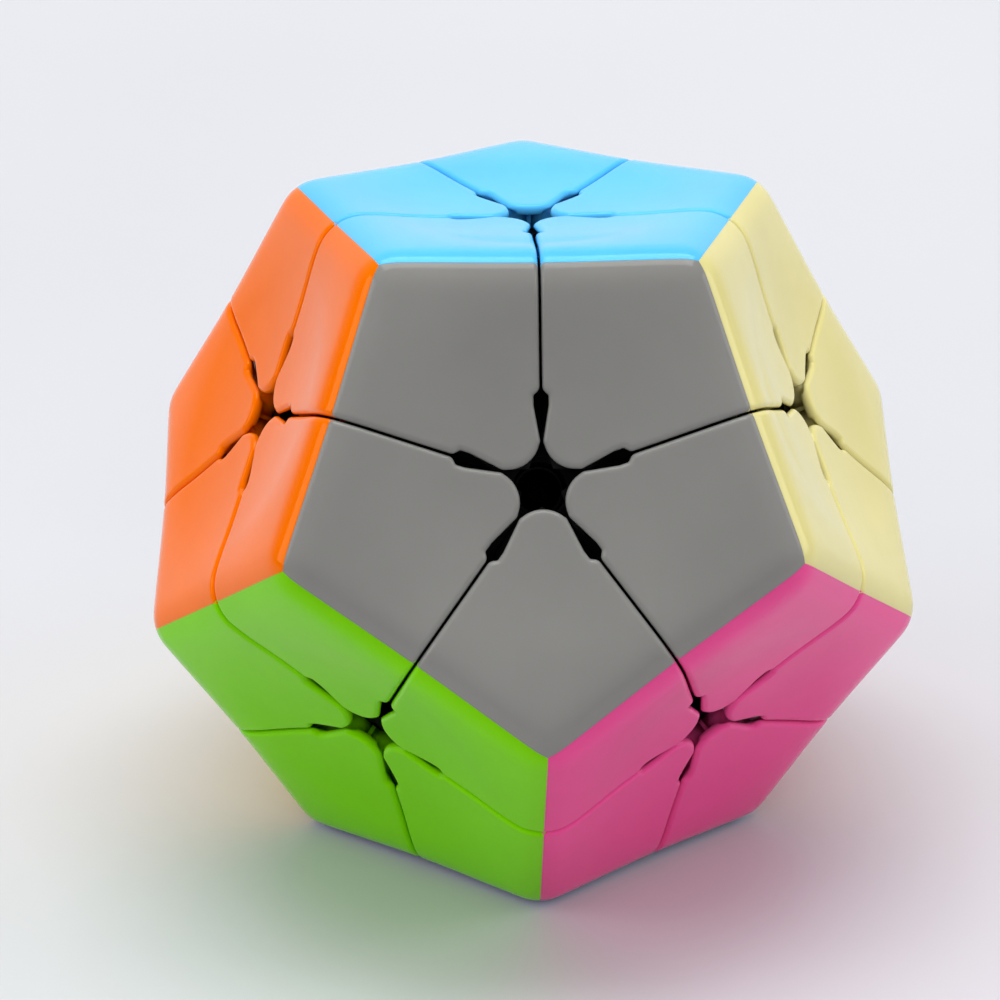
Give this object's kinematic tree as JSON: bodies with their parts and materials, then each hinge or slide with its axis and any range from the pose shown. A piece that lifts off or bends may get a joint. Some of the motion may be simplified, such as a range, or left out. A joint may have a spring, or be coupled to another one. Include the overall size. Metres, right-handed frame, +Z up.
{
  "type": "dodecahedral twisty puzzle",
  "caption": "Twelve-sided twisty puzzle with dished faces cut into kite-shaped corner tiles, hidden edges and spring-loaded screws, turning about every face.",
  "frame": {"origin": "on the surface that the puzzle stands on, under its centre", "axes": "+Z up through the light blue face; -Y towards the gray face's side, so that the gray face looks towards -Y and up"},
  "size_m": [0.0898, 0.0938, 0.0779],
  "materials": {
    "tile_light_blue": "glossy moulded plastic, coloured right through",
    "tile_gray": "glossy moulded plastic, coloured right through",
    "tile_orange": "glossy moulded plastic, coloured right through",
    "tile_pale_yellow": "glossy moulded plastic, coloured right through",
    "tile_lime": "glossy moulded plastic, coloured right through",
    "tile_pink": "glossy moulded plastic, coloured right through",
    "tile_purple": "glossy moulded plastic, coloured right through",
    "tile_dark_green": "glossy moulded plastic, coloured right through",
    "tile_red": "glossy moulded plastic, coloured right through",
    "tile_white": "glossy moulded plastic, coloured right through",
    "tile_yellow": "glossy moulded plastic, coloured right through",
    "tile_dark_blue": "glossy moulded plastic, coloured right through",
    "black_plastic": "plain black moulded plastic",
    "screw_metal": "brass-coloured plated steel",
    "spring_steel": "bare spring steel"
  },
  "bodies": {
    "base": {"core": "black_plastic", "screws": "screw_metal", "washers": "spring_steel", "springs": "spring_steel", "corner_feet_on_base": "black_plastic", "hidden_edges_on_base": "black_plastic", "tiles_dark_blue_on_base": "tile_dark_blue", "tiles_dark_green_on_base": "tile_dark_green", "tiles_light_blue_on_base": "tile_light_blue", "tiles_lime_on_base": "tile_lime", "tiles_orange_on_base": "tile_orange", "tiles_pale_yellow_on_base": "tile_pale_yellow", "tiles_pink_on_base": "tile_pink", "tiles_purple_on_base": "tile_purple", "tiles_red_on_base": "tile_red", "tiles_white_on_base": "tile_white", "tiles_yellow_on_base": "tile_yellow"},
    "layer_gray": {"centre_gray": "black_plastic", "corner_feet_on_gray": "black_plastic", "hidden_edges_on_gray": "black_plastic", "tiles_gray_on_gray": "tile_gray", "tiles_light_blue_on_gray": "tile_light_blue", "tiles_lime_on_gray": "tile_lime", "tiles_orange_on_gray": "tile_orange", "tiles_pale_yellow_on_gray": "tile_pale_yellow", "tiles_pink_on_gray": "tile_pink"},
    "centre_light_blue_body": {"centre_light_blue": "black_plastic"},
    "centre_pale_yellow_body": {"centre_pale_yellow": "black_plastic"},
    "centre_dark_green_body": {"centre_dark_green": "black_plastic"},
    "centre_purple_body": {"centre_purple": "black_plastic"},
    "centre_orange_body": {"centre_orange": "black_plastic"},
    "centre_pink_body": {"centre_pink": "black_plastic"},
    "centre_red_body": {"centre_red": "black_plastic"},
    "centre_white_body": {"centre_white": "black_plastic"},
    "centre_yellow_body": {"centre_yellow": "black_plastic"},
    "centre_lime_body": {"centre_lime": "black_plastic"},
    "centre_dark_blue_body": {"centre_dark_blue": "black_plastic"}
  },
  "joints": [
    {"name": "turn_gray_layer", "type": "hinge", "parent": "base", "child": "layer_gray", "pos_m": [0, 0, 0.03896], "axis": [0, -0.8944, 0.4472], "continuous": true},
    {"name": "turn_light_blue_centre", "type": "hinge", "parent": "base", "child": "centre_light_blue_body", "pos_m": [0, 0, 0.03896], "axis": [0, 0, 1], "continuous": true},
    {"name": "turn_pale_yellow_centre", "type": "hinge", "parent": "base", "child": "centre_pale_yellow_body", "pos_m": [0, 0, 0.03896], "axis": [0.8507, -0.2764, 0.4472], "continuous": true},
    {"name": "turn_dark_green_centre", "type": "hinge", "parent": "base", "child": "centre_dark_green_body", "pos_m": [0, 0, 0.03896], "axis": [0.5257, 0.7236, 0.4472], "continuous": true},
    {"name": "turn_purple_centre", "type": "hinge", "parent": "base", "child": "centre_purple_body", "pos_m": [0, 0, 0.03896], "axis": [-0.5257, 0.7236, 0.4472], "continuous": true},
    {"name": "turn_orange_centre", "type": "hinge", "parent": "base", "child": "centre_orange_body", "pos_m": [0, 0, 0.03896], "axis": [-0.8507, -0.2764, 0.4472], "continuous": true},
    {"name": "turn_pink_centre", "type": "hinge", "parent": "base", "child": "centre_pink_body", "pos_m": [0, 0, 0.03896], "axis": [0.5257, -0.7236, -0.4472], "continuous": true},
    {"name": "turn_red_centre", "type": "hinge", "parent": "base", "child": "centre_red_body", "pos_m": [0, 0, 0.03896], "axis": [0.8507, 0.2764, -0.4472], "continuous": true},
    {"name": "turn_white_centre", "type": "hinge", "parent": "base", "child": "centre_white_body", "pos_m": [0, 0, 0.03896], "axis": [0, 0.8944, -0.4472], "continuous": true},
    {"name": "turn_yellow_centre", "type": "hinge", "parent": "base", "child": "centre_yellow_body", "pos_m": [0, 0, 0.03896], "axis": [-0.8507, 0.2764, -0.4472], "continuous": true},
    {"name": "turn_lime_centre", "type": "hinge", "parent": "base", "child": "centre_lime_body", "pos_m": [0, 0, 0.03896], "axis": [-0.5257, -0.7236, -0.4472], "continuous": true},
    {"name": "turn_dark_blue_centre", "type": "hinge", "parent": "base", "child": "centre_dark_blue_body", "pos_m": [0, 0, 0.03896], "axis": [0, 0, -1], "continuous": true}
  ]
}
